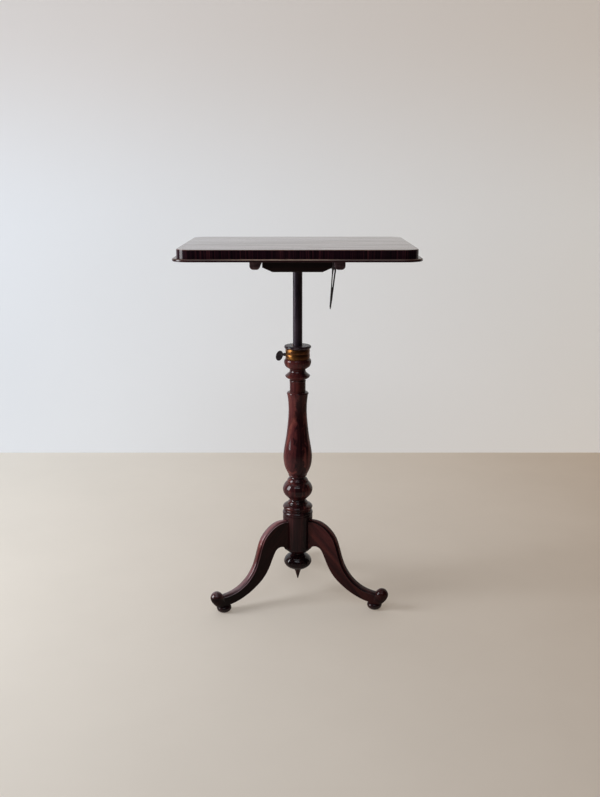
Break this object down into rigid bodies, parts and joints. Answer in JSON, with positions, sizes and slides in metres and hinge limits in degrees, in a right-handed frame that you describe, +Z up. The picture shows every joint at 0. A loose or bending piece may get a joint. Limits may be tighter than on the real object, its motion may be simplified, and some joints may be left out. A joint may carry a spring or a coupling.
{
  "type": "reading stand",
  "caption": "Tripod reading stand: rounded-corner top tilting on battens over a bearer block, turning on a clamped sliding rod in a turned column with carved legs.",
  "frame": {"origin": "on the floor, at the centre of the whole object's outline seen from above; the column's axis stands 12.8 mm in front of it, at x = 0, y = -0.0128", "axes": "+Z up the column, the front of the stand (the side with the prop) towards -Y, the clamping screw towards -X"},
  "size_m": [0.501, 0.4261, 0.816],
  "materials": {
    "rosewood": "French-polished rosewood, turned and carved",
    "top_veneer": "French-polished figured rosewood veneer",
    "crossbanding": "polished cross-grain rosewood banding",
    "moulding": "polished thumb moulding",
    "ground_board": "stained, unpolished underside",
    "bearer_wood": "dark stained hardwood",
    "brass": "aged brass",
    "rod_steel": "dark patinated steel",
    "dark_iron": "blackened iron"
  },
  "bodies": {
    "base": {"hub": "rosewood", "leg_left": "rosewood", "leg_right": "rosewood", "leg_rear": "rosewood", "foot_left": "rosewood", "foot_right": "rosewood", "foot_rear": "rosewood", "pendant": "rosewood", "baluster": "rosewood", "upper_column": "rosewood", "collar_cap": "rosewood", "collar_band": "brass", "rod_bush": "brass"},
    "clamp_pad": {"clamp_pad": "brass"},
    "thumb_screw": {"thumb_screw": "dark_iron"},
    "lift": {"rod": "rod_steel", "rod_washer": "rod_steel", "rod_nut": "rod_steel"},
    "bearer": {"block": "bearer_wood", "rack_plate": "dark_iron", "rack_screws": "dark_iron", "pivot_screws": "dark_iron"},
    "top": {"top_board": "ground_board", "top_veneer": "top_veneer", "edge_banding": "crossbanding", "lip_moulding": "moulding", "batten_left": "bearer_wood", "batten_right": "bearer_wood", "batten_screws": "dark_iron", "prop_bracket": "dark_iron", "bracket_screws": "dark_iron", "prop_pin": "dark_iron"},
    "prop": {"prop": "dark_iron"}
  },
  "joints": [
    {"name": "height_slide", "type": "slide", "parent": "base", "child": "lift", "axis": [0, 0, 1], "range_m": [-0.15, 0.15]},
    {"name": "swivel", "type": "hinge", "parent": "lift", "child": "bearer", "pos_m": [0, -0.0128, 0.7588], "axis": [0, 0, 1], "continuous": true},
    {"name": "top_tilt", "type": "hinge", "parent": "bearer", "child": "top", "pos_m": [0, 0.0352, 0.783], "axis": [-1, 0, 0], "range_deg": [0, 48.8]},
    {"name": "prop_swing", "type": "hinge", "parent": "top", "child": "prop", "pos_m": [0.07595, -0.1045, 0.7702], "axis": [1, 0, 0], "range_deg": [0, 48.8]},
    {"name": "clamp_travel", "type": "slide", "parent": "base", "child": "clamp_pad", "axis": [-1, 0, 0], "range_m": [0, 0.00128]},
    {"name": "clamp_turn", "type": "hinge", "parent": "clamp_pad", "child": "thumb_screw", "pos_m": [-0.0137, -0.0128, 0.5706], "axis": [-1, 0, 0], "range_deg": [0, 360]}
  ],
  "couplings": [
    {"joint": "prop_swing", "follows": "top_tilt", "ratio": 1},
    {"joint": "clamp_travel", "follows": "clamp_turn", "m_per_rad": 0.00020213}
  ]
}
